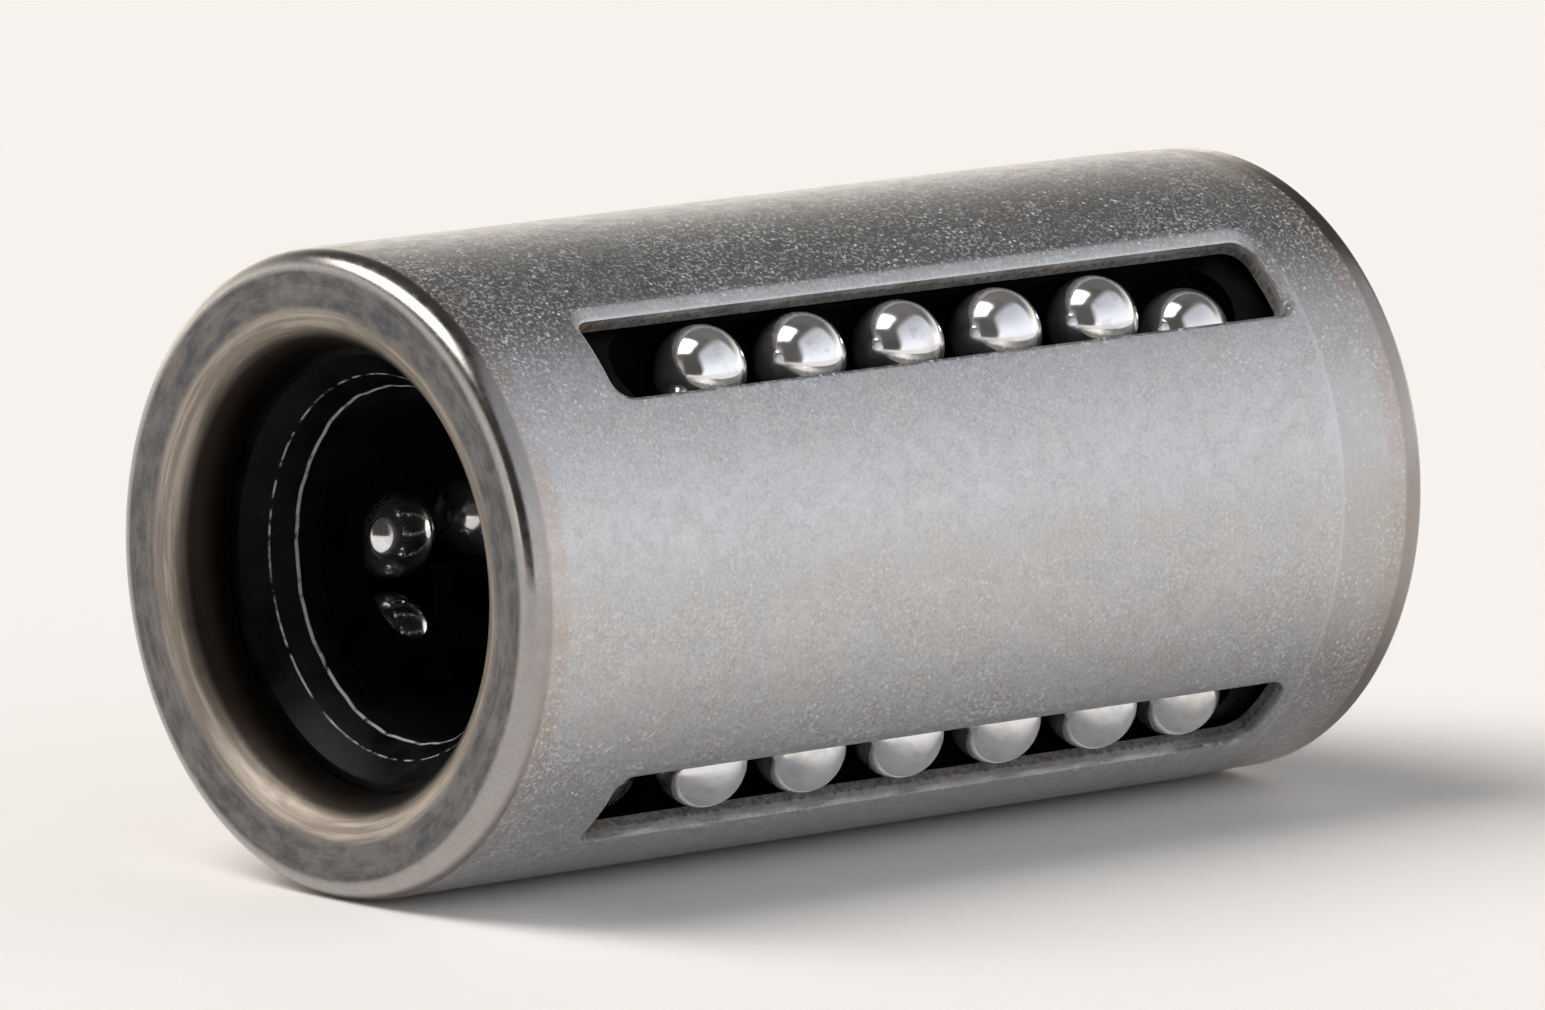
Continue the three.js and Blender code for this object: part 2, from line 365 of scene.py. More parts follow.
def ground_steel(n, place, x, clouds, mottle, grain):
    """The colour of the ground outside: cool and warm clouds, a fine grain, and an edge near the rear."""
    warm, cool, stain = (0.51, 0.505, 0.51, 1), (0.46, 0.465, 0.49, 1), (0.49, 0.45, 0.41, 1)
    unground_end = (0.45, 0.435, 0.42, 1)
    colour = n.mix(n.step(clouds, 0.38, 0.62), warm, cool)
    colour = n.mix(n.step(n.noise(place, 0.9, 3.0), 0.45, 0.65, 0.0, 0.55), colour, stain)
    colour = n.mix(n.step(mottle, 0.35, 0.65, 0.0, 0.45), colour, grey(0.36))
    colour = n.mix(n.step(grain, 0.3, 0.7, 0.0, 0.5), colour, grey(0.66))

    # The grinding stops short of the rear end and leaves a faint edge there
    unground = n.step(x, TAPER_START - 0.04, TAPER_START + 0.04, 0.0, 0.6)
    colour = n.mix(unground, colour, unground_end)
    return n.mix(n.band(x, TAPER_START - 0.06, TAPER_START, 0.04), colour, grey(0.56))


def heat_tint_and_shade(n, parts, radius, from_end, ground):
    """Adds the tint that the rolled ends kept: straw at the shoulder, dark scale on the flat face and tan in
    the mouth, in rings drawn out by the rolling.
    The rounded shoulder is also darkened brown, partly as tint and partly as painted shade, and the lip is
    painted near black as shade where it turns into the bore.
    Gives the colour, and masks of shoulder, face and mouth."""
    straw, burnt_and_shaded, painted_shade_black = (0.44, 0.36, 0.30, 1), (0.27, 0.245, 0.225, 1), (0.02, 0.016, 0.013, 1)
    dark_scale, pale_scale = (0.095, 0.097, 0.104, 1), (0.18, 0.172, 0.168, 1)
    brown_scale = (0.29, 0.23, 0.18, 1)
    dark_tan, pale_tan = (0.24, 0.205, 0.175, 1), (0.42, 0.37, 0.33, 1)
    rings = n.noise(n.drawn_round(parts, radius, 7.0, 0.35), 1.0, 4.0, 0.6)
    blotches = n.noise(n.drawn_round(parts, radius, 3.0, 1.5), 1.0, 5.0, 0.7)

    at_straw = n.math("MULTIPLY", n.band(from_end, 0.45, 0.75, 0.25), n.step(blotches, 0.35, 0.6, 0.1, 0.6))
    colour = n.mix(at_straw, ground, straw)
    # The rounded shoulder is darkened brown, partly as heat tint and partly as painted shade that dims its
    # reflections
    outside = n.step(radius, OUTER - 0.45, OUTER - 0.32)
    shoulder = n.math("MULTIPLY", n.band(from_end, -0.1, 0.4, 0.12), outside)
    colour = n.mix(n.math("MULTIPLY", shoulder, 0.6), colour, burnt_and_shaded)

    scale = n.mix(n.step(blotches, 0.35, 0.65), dark_scale, pale_scale)
    scale = n.mix(n.step(rings, 0.5, 0.72, 0.0, 0.45), scale, brown_scale)
    inside = n.step(radius, OUTER - 0.42, OUTER - 0.3, 1.0, 0.0)
    on_face = n.math("MULTIPLY", n.step(from_end, 0.03, 0.3, 1.0, 0.0), inside)
    colour = n.mix(on_face, colour, scale)

    tan = n.mix(n.step(rings, 0.4, 0.62), dark_tan, pale_tan)
    within = n.step(radius, FACE_INNER - 0.37, FACE_INNER - 0.12, 1.0, 0.0)
    in_mouth = n.math("MULTIPLY", within, n.step(from_end, 1.3, 1.2))
    colour = n.mix(in_mouth, colour, tan)
    # Painted shade: the lip is painted near black where it curls into the bore, out of the light
    near_opening = n.step(radius, OPENING + 0.2, OPENING + 0.52, 1.0, 0.0)
    lip_shade = n.math("MULTIPLY", near_opening, n.step(from_end, 1.4, 1.2))
    return n.mix(lip_shade, colour, painted_shade_black), shoulder, on_face, in_mouth


def dust_and_scratches(n, place, clouds):
    """A mask of the marks that scatter light, so that they show where the polish is dark."""
    dusty = n.step(n.noise(place, 1.3, 2.0), 0.4, 0.6)
    dust = n.math("MULTIPLY", n.specks(place, 6.0, 0.26), dusty)
    streaks = n.noise(n.scaled(n.turned(place, (20, 35, 30)), 4.0, 26.0, 26.0), 1.0, 2.0)
    streaky = n.step(n.noise(place, 2.0, 1.0), 0.42, 0.6)
    streaks = n.math("MULTIPLY", n.step(streaks, 0.62, 0.70), streaky)
    bits = n.step(n.noise(place, 13.0, 3.0, 0.7), 0.5, 0.64)
    bits = n.math("MULTIPLY", bits, n.step(clouds, 0.35, 0.6, 0.45, 1.0))
    return n.math("MAXIMUM", n.math("MAXIMUM", dust, streaks), n.math("MULTIPLY", bits, 0.7))


def sleeve_steel():
    """Satin ground steel with faint stains, small scratches and dust, and darker ends: heat-tinted, with
    painted shade on the shoulder and in the lip.
    """
    material, n = new_material("sleeve_steel")
    place = n.place_mm()
    parts = n.split(place)
    radius = n.axis_distance(parts)
    from_end = n.math("SUBTRACT", HALF, n.math("ABSOLUTE", parts[0]))
    clouds = n.noise(place, 0.45, 4.0, 0.6)
    mottle = n.noise(place, 3.0, 5.0, 0.65)
    grain = n.noise(place, 16.0, 2.0, 0.6)

    ground = ground_steel(n, place, parts[0], clouds, mottle, grain)
    colour, shoulder, on_face, in_mouth = heat_tint_and_shade(n, parts, radius, from_end, ground)
    tinted_end = n.math("MAXIMUM", on_face, in_mouth)
    clean_end = n.step(n.math("MAXIMUM", tinted_end, shoulder), 0.0, 1.0, 0.9, 0.0)
    marks = n.math("MULTIPLY", dust_and_scratches(n, place, clouds), clean_end)

    satin = n.step(mottle, 0.3, 0.7, 0.30, 0.40)
    roughness = n.math("ADD", satin, n.math("MULTIPLY", tinted_end, 0.12))
    roughness = n.math("SUBTRACT", roughness, n.math("MULTIPLY", shoulder, 0.14))
    height = n.math("ADD", n.math("MULTIPLY", grain, 0.6), n.math("MULTIPLY", mottle, 1.2))
    n.surface(
        Base_Color=n.mix(marks, colour, grey(0.66)),
        Metallic=n.math("SUBTRACT", 1.0, marks),
        Roughness=roughness,
        Normal=n.bump(height, 0.35, 0.004 * MM),
    )
    return material


def cut_steel():
    """The punched edge of a window: burnished by the punch near the outside, torn and dark further in."""
    material, n = new_material("cut_steel")
    burnish_start = OUTER - 0.25
    pale_torn, pale_burnished = (0.42, 0.40, 0.38, 1), (0.50, 0.47, 0.45, 1)
    rust_brown = (0.16, 0.07, 0.03, 1)
    place = n.place_mm()
    parts = n.split(place)
    radius = n.axis_distance(parts)
    tear = n.noise(place, 9.0, 4.0, 0.7)
    edge = n.math("ADD", radius, n.step(tear, 0.3, 0.7, -0.03, 0.03))
    torn = n.mix(n.step(tear, 0.35, 0.65), grey(0.20), pale_torn)
    burnished = n.mix(n.step(n.noise(place, 5.0), 0.4, 0.6), grey(0.58), pale_burnished)
    colour = n.mix(n.step(edge, burnish_start - 0.03, burnish_start + 0.03), torn, burnished)
    front_end = n.step(parts[0], WINDOW_FRONT + 1.3, WINDOW_FRONT + 0.3)
    rust = n.math("MULTIPLY", front_end, n.step(n.noise(place, 3.0, 4.0), 0.35, 0.6))
    n.surface(
        Base_Color=n.mix(rust, colour, rust_brown),
        Metallic=n.math("SUBTRACT", 1.0, n.math("MULTIPLY", rust, 0.7)),
        Roughness=n.step(edge, burnish_start - 0.05, burnish_start + 0.05, 0.7, 0.55),
        Normal=n.bump(tear, 0.5, 0.01 * MM),
    )
    return material


def polished_steel():
    """Mirror-finished bearing steel with the faint stains of oil, placed differently on each ball."""
    material, n = new_material("ball_steel")
    clean, oiled, bluish = (0.84, 0.845, 0.855, 1), (0.72, 0.68, 0.66, 1), (0.60, 0.62, 0.68, 1)
    place = n.place_mm()
    seed = n.add("ShaderNodeAttribute", attribute_type="OBJECT", attribute_name="ball_seed").outputs["Vector"]
    place = n.add("ShaderNodeVectorMath", {0: place, 1: seed}, operation="ADD").outputs[0]
    film = n.noise(place, 1.6, 4.0, 0.6)
    fine = n.noise(place, 12.0, 3.0, 0.6)
    colour = n.mix(n.step(film, 0.5, 0.66, 0.0, 0.7), clean, oiled)
    colour = n.mix(n.step(n.noise(place, 3.1, 2.0), 0.58, 0.66, 0.0, 0.5), colour, bluish)
    colour = n.mix(n.math("MULTIPLY", n.specks(place, 5.0, 0.08), 0.6), colour, grey(0.25))
    n.surface(
        Base_Color=colour,
        Metallic=n.step(film, 0.35, 0.7, 0.94, 0.86),
        Roughness=n.step(film, 0.35, 0.7, 0.1, 0.16),
        Normal=n.bump(fine, 0.12, 0.0008 * MM),
    )
    return material


def black_plastic(name, shine, highlight_lines=()):
    """Moulded black plastic with a fine uneven gloss. The third argument lists edges painted with thin bright
    grey lines as highlights, where moulded edges would catch the light, as (distance from the middle, half
    width, level of the noise under which the edge stays black)."""
    material, n = new_material(name)
    black, soft_black = (0.002, 0.002, 0.0022, 1), (0.006, 0.006, 0.0065, 1)
    dusty, painted_highlight_grey = (0.07, 0.065, 0.06, 1), (0.42, 0.42, 0.43, 1)
    place = n.place_mm()
    flow = n.noise(place, 1.2, 4.0, 0.6)
    fine = n.noise(place, 22.0, 2.0)
    colour = n.mix(n.step(flow, 0.35, 0.7), black, soft_black)
    colour = n.mix(n.math("MULTIPLY", n.specks(place, 4.0, 0.08), 0.4), colour, dusty)
    along = n.math("ABSOLUTE", n.split(place)[0])
    # Painted highlights: thin bright grey lines along the listed edges, in place of the light that their
    # rounded edges would catch
    for edge, half, bare in highlight_lines:
        line = n.band(along, edge - half, edge + half, 0.02)
        painted_highlight = n.math("MULTIPLY", line, n.step(n.noise(place, 4.0), bare, bare + 0.25))
        colour = n.mix(painted_highlight, colour, painted_highlight_grey)
    n.surface(
        Base_Color=colour,
        Specular_IOR_Level=0.05,
        Roughness=n.step(flow, 0.35, 0.7, shine, shine + 0.14),
        Normal=n.bump(fine, 0.3, 0.004 * MM),
    )
    return material


# ---------------------------------------------------------------- sleeve

def spaced(start, end, steps):
    return [start + (end - start) * i / steps for i in range(steps)]


def quarter_columns():
    """Angles from one loaded row to the next, measured from the window between them."""
    edge = QUARTER / 2
    bar = edge - RACEWAY_HALF_ANGLE
    flank = bar - RACEWAY_SIDE
    patch = PATCH_HALF_ANGLE
    stops = (-edge, -bar, -flank, -patch, patch, flank, bar, edge)
    counts = (6, 1, 8, PATCH_COLUMNS, 8, 1, 6)
    columns = []
    for start, end, count in zip(stops, stops[1:], counts):
        columns += spaced(start, end, count)
    return columns


QUARTER_ANGLES = quarter_columns()


def window_outline(count_x, count_a):
    """Points round a window as (x, width, outward x, outward width), count_x along each long side and
    count_a along each end, with each side starting at the middle of a corner."""
    corner_steps = 4
    straight_x = WINDOW_HALF_LENGTH - WINDOW_CORNER
    straight_w = WINDOW_HALF_WIDTH - WINDOW_CORNER
    sides = ((count_x, -90), (count_a, 0), (count_x, 90), (count_a, 180))
    points = []
    for count, facing in sides:
        along = straight_x if facing in (-90, 90) else straight_w
        off = straight_w if facing in (-90, 90) else straight_x
        for i in range(count):
            if i < corner_steps:
                lean, place = -45 + 45 * i / corner_steps, -along
            elif i > count - corner_steps:
                lean, place = 45 - 45 * (count - i) / corner_steps, along
            else:
                lean, place = 0, -along + 2 * along * (i - corner_steps) / (count - 2 * corner_steps)
            a = math.radians(facing + lean)
            f = math.radians(facing)
            out = Vector((math.cos(a), math.sin(a)))
            middle = Vector((math.cos(f), math.sin(f))) * off + Vector((-math.sin(f), math.cos(f))) * place
            point = middle + out * WINDOW_CORNER
            points.append((point.x + LOOP_MIDDLE, point.y, out.x, out.y))
    return points


class SleeveMesh:
    """Collects the sleeve's points and faces. A face's zone is the number of its material."""

    BODY, CUT = 0, 1

    def __init__(self):
        self.points = []
        self.faces = []
        self.zones = []
        self.per_quarter = len(QUARTER_ANGLES)
        self.columns = [start + local for start in WINDOW_ANGLES for local in QUARTER_ANGLES]

    def point(self, x, degrees, radius):
        self.points.append(across(degrees) * radius + Vector((x, 0, 0)))
        return len(self.points) - 1

    def ring(self, x, radius_at):
        """A ring of points right round the sleeve."""
        ring = []
        for i, degrees in enumerate(self.columns):
            ring.append(self.point(x, degrees, radius_at(x, QUARTER_ANGLES[i % self.per_quarter])))
        return ring

    def window_ring(self, window_angle, places):
        """A ring of points round one window, from places measured from its middle."""
        return [self.point(x, window_angle + degrees, radius) for x, degrees, radius in places]

    def strip(self, first, second, skip=(), inward=False, zone=BODY):
        """Faces between two rings, without the columns of each quarter that are in skip."""
        count = len(first)
        for i in range(count):
            if i % self.per_quarter in skip:
                continue
            j = (i + 1) % count
            corners = (first[i], second[i], second[j], first[j])
            self.faces.append(tuple(reversed(corners)) if inward else corners)
            self.zones.append(zone)


def outer_radius(x, _local):
    over = max(0, x - TAPER_START) / (HALF - TAPER_START)
    return OUTER - TAPER_DROP * over


def inner_radius(x, local):
    in_bar = abs(local) >= QUARTER / 2 - RACEWAY_HALF_ANGLE - 1e-6
    in_length = RACEWAY_START <= x <= RACEWAY_END
    return RACEWAY_INNER if in_bar and in_length else WALL_INNER


def end_outline(side, edge_radius, fillet):
    """The rolled end as (x, radius) points, from the outside to just behind the lip. side -1 is the front."""
    length, depth = fillet
    points = [(-HALF + inset, edge_radius) for inset in END_RINGS]
    points += reversed(ellipse_quarter((-HALF, edge_radius - depth), (-HALF + length, edge_radius), 14))
    points += [(-HALF, radius) for radius in FACE_RINGS]
    points += ellipse_quarter((-HALF, FACE_INNER), (-HALF + MOUTH_DEPTH, OPENING), 16)
    points += [(-LIP_BACK - LIP_EDGE, OPENING), (-LIP_BACK, OPENING + LIP_EDGE)]
    points += [(-LIP_BACK, radius) for radius in LIP_RINGS]
    return [(x * -side, radius) for x, radius in points]


def wall_ring(outline, radius):
    """The window's outline at one radius inside the wall, as (x, degrees, radius)."""
    return [(x, math.degrees(math.asin(width / radius)), radius) for x, width, _, _ in outline]


def rolled_ring(outline, share):
    """The edge the punch drew down, from its lip at share 0 out to the plain surface at share 1."""
    ring = []
    for x, width, out_x, out_w in outline:
        drawn = math.hypot(max(0, -out_w), ROLL_AT_REAR * max(0, out_x))
        reach = EDGE_ROUND + between(*ROLL_WIDTHS, drawn) * share
        radius = OUTER - between(*ROLL_DROPS, drawn) * (1 - share) ** ROLL_CURVE
        degrees = math.degrees(math.asin((width + out_w * reach) / radius))
        ring.append((x + out_x * reach, degrees, radius))
    return ring


def rings_between(ring, places, steps, radius_at):
    """Rings spread between one round the window and the places on the edge of its patch."""
    rings = []
    for step in range(1, steps):
        spread = []
        for (x0, a0, _), (x1, a1) in zip(ring, places):
            x = between(x0, x1, step / steps)
            degrees = between(a0, a1, step / steps)
            spread.append((x, degrees, radius_at(x, degrees)))
        rings.append(spread)
    return rings


def fill_window(mesh, window_angle, outline, places, outer_loop, inner_loop):
    """Joins the edge of the patch to the window in it: on the outside, through the wall and on the inside."""
    cut = [wall_ring(outline, radius) for radius in CUT_RADII]
    body = [rolled_ring(outline, i / (ROLL_RINGS - 1)) for i in range(ROLL_RINGS)]
    body += rings_between(body[-1], places, 4, outer_radius)
    zones = [SleeveMesh.CUT] * len(cut) + [SleeveMesh.BODY] * (len(body) + 1)
    rings = [mesh.window_ring(window_angle, ring) for ring in cut + body] + [outer_loop]
    for first, second, zone in zip(rings, rings[1:], zones[1:]):
        mesh.strip(first, second, inward=True, zone=zone)

    spread = rings_between(cut[0], places, 3, inner_radius)
    inside = [rings[0]] + [mesh.window_ring(window_angle, ring) for ring in spread] + [inner_loop]
    for first, second in zip(inside, inside[1:]):
        mesh.strip(first, second)


def patch_places(rows_x):
    """The edge of a patch as (x, degrees), in the order of window_outline."""
    half = PATCH_HALF_ANGLE
    step = 2 * half / PATCH_COLUMNS
    places = [(x, -half) for x in rows_x[:-1]]
    places += [(PATCH_REAR, -half + step * i) for i in range(PATCH_COLUMNS)]
    places += [(x, half) for x in rows_x[:0:-1]]
    places += [(PATCH_FRONT, half - step * i) for i in range(PATCH_COLUMNS)]
    return places


def patch_loop(rows, first_row, row_count, first_column):
    """The points on the edge of a patch, in the same order as patch_places."""
    last_row = first_row + row_count
    last_column = first_column + PATCH_COLUMNS
    loop = [rows[first_row + i][first_column] for i in range(row_count)]
    loop += [rows[last_row][first_column + i] for i in range(PATCH_COLUMNS)]
    loop += [rows[last_row - i][last_column] for i in range(row_count)]
    loop += [rows[first_row][last_column - i] for i in range(PATCH_COLUMNS)]
    return loop


def make_sleeve(steel, cut):
    mesh = SleeveMesh()
    patch_x = spaced(PATCH_FRONT, PATCH_REAR, PATCH_ROWS) + [PATCH_REAR]
    patch_x += [RACEWAY_START, RACEWAY_START - RACEWAY_STEP, RACEWAY_END, RACEWAY_END + RACEWAY_STEP]
    patch_x.sort()
    before = spaced(-END_START, PATCH_FRONT, 4)
    after = [PATCH_REAR + (END_START - PATCH_REAR) * i / 4 for i in range(1, 5)]
    outer_x = before + patch_x + after
    clear_of_lip = LIP_BACK - 0.05
    inner_x = [-LIP_BACK] + [x for x in outer_x if abs(x) < clear_of_lip] + [LIP_BACK]
    row_count = len(patch_x) - 1
    first_column = QUARTER_ANGLES.index(-PATCH_HALF_ANGLE)
    patch_columns = range(first_column, first_column + PATCH_COLUMNS)

    outer_rows = [mesh.ring(x, outer_radius) for x in outer_x]
    front_end = end_outline(-1, OUTER, FRONT_FILLET)
    rear_end = end_outline(1, OUTER - TAPER_DROP, REAR_FILLET)
    front_rings = [mesh.ring(x, lambda _x, _a, r=r: r) for x, r in front_end]
    rear_rings = [mesh.ring(x, lambda _x, _a, r=r: r) for x, r in rear_end]
    inner_rows = [mesh.ring(x, inner_radius) for x in inner_x]

    # The outside and the inside, each with its patches left open
    first_rows = []
    for rows, rows_x, inward in ((outer_rows, outer_x, True), (inner_rows, inner_x, False)):
        first_row = rows_x.index(PATCH_FRONT)
        first_rows.append(first_row)
        for i in range(len(rows) - 1):
            skip = patch_columns if first_row <= i < first_row + row_count else ()
            mesh.strip(rows[i], rows[i + 1], skip, inward)
    for rings, end, inward in ((front_rings, 0, False), (rear_rings, -1, True)):
        chain = [outer_rows[end]] + rings + [inner_rows[end]]
        for first, second in zip(chain, chain[1:]):
            mesh.strip(first, second, inward=inward)

    outline = window_outline(row_count, PATCH_COLUMNS)
    places = patch_places(patch_x)
    for quarter, window_angle in enumerate(WINDOW_ANGLES):
        column = quarter * mesh.per_quarter + first_column
        outer_loop = patch_loop(outer_rows, first_rows[0], row_count, column)
        inner_loop = patch_loop(inner_rows, first_rows[1], row_count, column)
        fill_window(mesh, window_angle, outline, places, outer_loop, inner_loop)
    sleeve = piece_from("sleeve", mesh.points, mesh.faces, [steel, cut], mesh.zones)
    face_outwards(sleeve.data)
    return sleeve


# ---------------------------------------------------------------- balls

def ball_mesh(material):
    """A sphere made from the six sides of a cube, so that its faces are all about the same size."""
    steps = 14
    edit = bmesh.new()
    axes = [Vector((1, 0, 0)), Vector((0, 1, 0)), Vector((0, 0, 1))]
    sides = []
    for i in range(3):
        one, other = axes[i], axes[(i + 1) % 3]
        sides += [(one, other), (other, one)]
    for u, v in sides:
        out = u.cross(v)
        rows = []
        for i in range(steps + 1):
            row = []
            for j in range(steps + 1):
                a = math.tan(math.pi / 4 * (2 * i / steps - 1))
                b = math.tan(math.pi / 4 * (2 * j / steps - 1))
                row.append(edit.verts.new((out + u * a + v * b).normalized() * BALL_RADIUS * MM))
            rows.append(row)
        for i in range(steps):
            for j in range(steps):
                edit.faces.new((rows[i][j], rows[i + 1][j], rows[i + 1][j + 1], rows[i][j + 1]))
    bmesh.ops.remove_doubles(edit, verts=edit.verts, dist=BALL_RADIUS * MM / 1000)
    bmesh.ops.recalc_face_normals(edit, faces=edit.faces)
    for face in edit.faces:
        face.smooth = True
    mesh = bpy.data.meshes.new("ball")
    edit.to_mesh(mesh)
    edit.free()
    mesh.materials.append(material)
    return mesh


def make_balls(material):
    mesh = ball_mesh(material)
    bodies = frame["record"]["behaviour"]["bodies"]
    body_of = {node: body for body, nodes in bodies.items() for node in nodes}
    for circuit in range(1, CIRCUITS + 1):
        for number in range(1, BALLS_IN_CIRCUIT + 1):
            node = ball_name(circuit, number)
            ball = bpy.data.objects.new("polished_" + node, mesh)
            bpy.context.scene.collection.objects.link(ball)
            ball.location = centre_mm(node) * MM
            # Moves the noise, so that no two balls have the same stains
            ball["ball_seed"] = (circuit * 7.3, number * 3.1, circuit * number * 0.7)
            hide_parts(node)
            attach(ball, body_of[node])


# ---------------------------------------------------------------- cage

def cylinder_between(name, start, end, radius, material):
    segments = 32
    along = (end - start).normalized()
    side = along.orthogonal().normalized()
    other = along.cross(side)
    points = []
    for centre in (start, end):
        for i in range(segments):
            a = 2 * math.pi * i / segments
            points.append(centre + (side * math.cos(a) + other * math.sin(a)) * radius)
    faces = [(i, (i + 1) % segments, segments + (i + 1) % segments, segments + i) for i in range(segments)]
    faces.append(tuple(reversed(range(segments))))
    faces.append(tuple(range(segments, 2 * segments)))
    obj = piece_from(name, points, faces, [material])
    face_outwards(obj.data)
    return obj


def ball_end(name, centre, radius, material):
    mesh = bpy.data.meshes.new(name)
    edit = bmesh.new()
    place = Matrix.Translation(centre * MM)
    bmesh.ops.create_icosphere(edit, subdivisions=4, radius=radius * MM, matrix=place)
    edit.to_mesh(mesh)
    edit.free()
    mesh.materials.append(material)
    obj = bpy.data.objects.new(name, mesh)
    bpy.context.scene.collection.objects.link(obj)
    return obj


def ring_bar(name, radii, middle, half_angle, ends, material):
    """A bar with a curved section, between two radii and two places along the axis."""
    steps = 16
    inner, outer = radii
    section = []
    for radius, order in ((outer, range(steps + 1)), (inner, range(steps, -1, -1))):
        for i in order:
            section.append(across(middle - half_angle + 2 * half_angle * i / steps) * radius)
    count = len(section)
    points = [p + Vector((x, 0, 0)) for x in ends for p in section]
    faces = [(i, (i + 1) % count, count + (i + 1) % count, count + i) for i in range(count)]
    faces.append(tuple(reversed(range(count))))
    faces.append(tuple(range(count, 2 * count)))
    obj = piece_from(name, points, faces, [material])
    face_outwards(obj.data)
    return obj


def cut_away(whole, cutters):
    """Takes the cutters out of a piece for good, and welds the slivers that the cuts leave."""
    for cutter in cutters:
        step = whole.modifiers.new("cut", "BOOLEAN")
        step.operation = "DIFFERENCE"
        step.solver = "MANIFOLD"
        step.object = cutter
    depsgraph = bpy.context.evaluated_depsgraph_get()
    finished = bpy.data.meshes.new_from_object(whole.evaluated_get(depsgraph))
    edit = bmesh.new()
    edit.from_mesh(finished)
    bmesh.ops.remove_doubles(edit, verts=edit.verts, dist=WELD_DISTANCE * MM)
    bmesh.ops.dissolve_degenerate(edit, edges=edit.edges, dist=WELD_DISTANCE * MM)
    edit.to_mesh(finished)
    edit.free()
    whole.modifiers.clear()
    whole.data = finished
    for cutter in cutters:
        bpy.data.objects.remove(cutter)
    finished.polygons.foreach_set("use_smooth", [True] * len(finished.polygons))
    finished.set_sharp_from_angle(angle=math.radians(30))


def loop_corners(circuit):
    """The four corners of one circuit's loop, from the balls' places in the frame."""
    return_row = centre_mm(ball_name(circuit, RETURN_BALL))
    loaded_row = centre_mm(ball_name(circuit, LOADED_BALL))
    stops = [(LOOP_FRONT, return_row), (LOOP_REAR, return_row)]
    stops += [(LOOP_REAR, loaded_row), (LOOP_FRONT, loaded_row)]
    return [Vector((x, row.y, row.z)) for x, row in stops]


def channel_cutters(circuit, material):
    """The shapes that one circuit's loop and its raceway bar take out of the cage."""
    cutters = []
    corners = loop_corners(circuit)
    for corner, following in zip(corners, corners[1:] + corners[:1]):
        cutters.append(cylinder_between("cutter", corner, following, CHANNEL_RADIUS, material))
        cutters.append(ball_end("cutter", corner, CHANNEL_RADIUS, material))
    radii = (RACEWAY_INNER - GROOVE_PLAY, OUTER)
    middle = angle_of(centre_mm(ball_name(circuit, LOADED_BALL)))
    half_angle = RACEWAY_HALF_ANGLE + GROOVE_PLAY_ANGLE
    ends = (RACEWAY_START - GROOVE_PLAY, RACEWAY_END + GROOVE_PLAY)
    cutters.append(ring_bar("cutter", radii, middle, half_angle, ends, material))
    return cutters


def make_cage(material):
    edge = CAGE_CHAMFER
    outline = [(CAGE_FRONT, CAGE_BORE + edge), (CAGE_FRONT, CAGE_OUTER - edge)]
    outline += [(CAGE_FRONT + edge, CAGE_OUTER), (CAGE_REAR - edge, CAGE_OUTER)]
    outline += [(CAGE_REAR, CAGE_OUTER - edge), (CAGE_REAR, CAGE_BORE + edge)]
    outline += [(CAGE_REAR - edge, CAGE_BORE), (CAGE_FRONT + edge, CAGE_BORE)]
    cage = lathe("moulded_cage", outline, 144, material)
    cutters = []
    for circuit in range(1, CIRCUITS + 1):
        cutters += channel_cutters(circuit, material)
    cut_away(cage, cutters)
    return cage


# ---------------------------------------------------------------- end rings

def make_end_ring(name, side, cage_x, material):
    """A ring between the cage and the lip, with a stepped bevel that faces the mouth. side is -1 at the
    front."""
    face = RING_FACE
    inner = abs(cage_x) + RING_GAP
    throat = face - RING_THROAT_DEPTH
    ledge = face - RING_STEP_DEPTH
    body = [(face, CAGE_OUTER - RING_CHAMFER), (face - RING_CHAMFER, CAGE_OUTER), (inner, CAGE_OUTER)]
    body += [(inner, RING_THROAT)]
    throat_edge = [(throat - 0.02, RING_THROAT), (throat + 0.02, RING_THROAT + 0.02)]
    ledge_edge = [(ledge - 0.02, RING_STEP - 0.01), (ledge + 0.01, RING_STEP + 0.01)]
    mouth_edge = [(face - 0.05, RING_MOUTH - 0.04), (face, RING_MOUTH)]
    outline = body + throat_edge + ledge_edge + mouth_edge
    rippled = range(len(body), len(body) + len(throat_edge))
    waves = ((0.012, 9, 1), (0.009, 23, 0), (0.006, 41, 2))

    def moulding_ripple(number, degrees):
        """The throat's edge wanders a little, as moulded edges do. A wave is (height, count, start)."""
        if number not in rippled:
            return 0
        a = math.radians(degrees)
        return sum(height * math.sin(count * a + start) for height, count, start in waves)

    return lathe(name, [(x * side, radius) for x, radius in outline], 240, material, moulding_ripple)


# ---------------------------------------------------------------- studio

def softbox(n, direction, azimuth, elevation, half_width, half_height, edge, roll=0):
    """A mask of a soft-edged rectangle in the sky round the object. Places and sizes are in degrees."""
    to = towards(azimuth, elevation)
    right = Vector((math.cos(math.radians(azimuth)), math.sin(math.radians(azimuth)), 0))
    up = to.cross(right)
    spin = Matrix.Rotation(math.radians(roll), 3, to)
    right, up = spin @ right, spin @ up

    def dot(vector):
        product = n.add("ShaderNodeVectorMath", {0: direction, 1: vector}, operation="DOT_PRODUCT")
        return product.outputs["Value"]

    ahead = dot(to)
    mask = n.step(ahead, 0.0, 0.1)
    for vector, half in ((right, half_width), (up, half_height)):
        angle = n.math("ABSOLUTE", n.math("ARCTAN2", dot(vector), ahead))
        inside = n.step(angle, math.radians(half - edge), math.radians(half + edge), 1.0, 0.0)
        mask = n.math("MULTIPLY", mask, inside)
    return mask


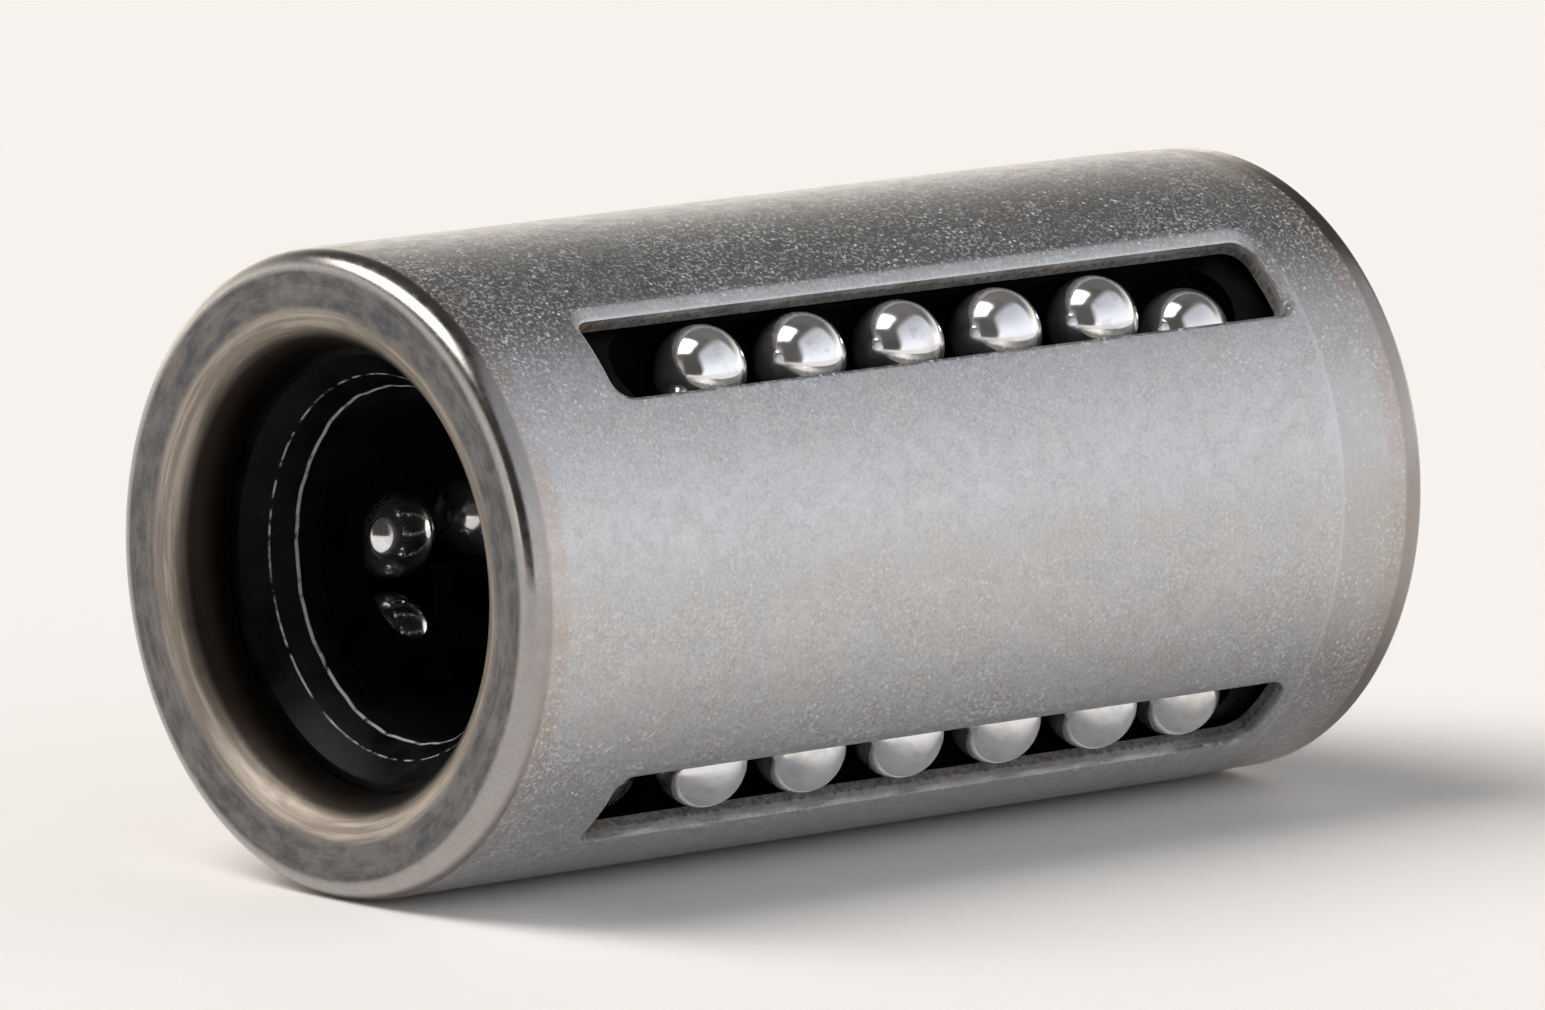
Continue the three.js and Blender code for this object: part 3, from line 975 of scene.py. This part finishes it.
def make_world():
    world = bpy.data.worlds.new("studio")
    bpy.context.scene.world = world
    world.use_nodes = True
    n = Nodes(world.node_tree)
    direction = n.add("ShaderNodeTexCoord").outputs["Generated"]
    height = n.split(direction)[2]
    floor_glow, ceiling = (1.75, 1.66, 1.5, 1), (0.095, 0.092, 0.09, 1)
    dark_room = (0.05, 0.045, 0.042, 1)
    panel_low, panel_high = (1.12, 1.14, 1.2, 1), (0.55, 0.56, 0.6, 1)
    white, lamp_light = (1.0, 1.0, 1.0, 1), (6.5, 6.3, 6.0, 1)
    backdrop = (0.96, 0.955, 0.95, 1)
    sky = n.mix(n.step(height, 0.0, 0.6), floor_glow, ceiling)
    room = softbox(n, direction, CAMERA_AZIMUTH - 16, 40, half_width=30, half_height=62, edge=8)
    sky = n.mix(room, sky, dark_room)
    panel = softbox(n, direction, CAMERA_AZIMUTH + 60, 20, half_width=48, half_height=50, edge=8)
    sky = n.mix(panel, sky, n.mix(n.step(height, 0.1, 0.9), panel_low, panel_high))
    reflector = softbox(n, direction, CAMERA_AZIMUTH - 82, 0, half_width=28, half_height=18, edge=4)
    sky = n.mix(reflector, sky, white)
    lamp = softbox(n, direction, -129, 56, half_width=25, half_height=15, edge=7, roll=43)
    sky = n.mix(lamp, sky, lamp_light)

    # The camera sees a plain backdrop, and only the reflections see the studio
    seen = n.add("ShaderNodeLightPath").outputs["Is Camera Ray"]
    sky = n.mix(seen, sky, backdrop)
    background = n.add("ShaderNodeBackground", {"Color": sky, "Strength": 1.0})
    n.add("ShaderNodeOutputWorld", {"Surface": background.outputs[0]})


def make_floor():
    material, n = new_material("pale_floor")
    place = n.place_mm()
    warm, pale = (0.885, 0.87, 0.855, 1), (0.91, 0.895, 0.88, 1)
    colour = n.mix(n.noise(place, 0.02, 3.0), warm, pale)
    n.surface(Base_Color=colour, Roughness=0.7, Normal=n.bump(n.noise(place, 2.0), 0.05, 0.02 * MM))
    half = 6000
    z = cad_bounds[0].z / MM
    corners = [(-half, -half, z), (half, -half, z), (half, half, z), (-half, half, z)]
    floor = piece_from("floor", corners, [(0, 1, 2, 3)], [material])


# ---------------------------------------------------------------- assembly

def fit(piece, node):
    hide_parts(node)
    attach(piece, "housing")


make_camera()
make_world()
make_floor()
fit(make_sleeve(sleeve_steel(), cut_steel()), "outer_sleeve")
make_balls(polished_steel())
cage_black = black_plastic("cage_plastic", 0.28)
# Edges of the end rings that get painted highlight lines
painted_edge_highlights = ((RING_FACE - RING_THROAT_DEPTH, 0.02, 0.25), (RING_FACE - RING_STEP_DEPTH, 0.004, 0.42))
ring_black = black_plastic("ring_plastic", 0.3, painted_edge_highlights)
fit(make_cage(cage_black), "ball_cage")
fit(make_end_ring("front_ring", -1, CAGE_FRONT, ring_black), "front_end_ring")
fit(make_end_ring("rear_ring", 1, CAGE_REAR, ring_black), "rear_end_ring")

bpy.context.scene.view_settings.view_transform = "Standard"
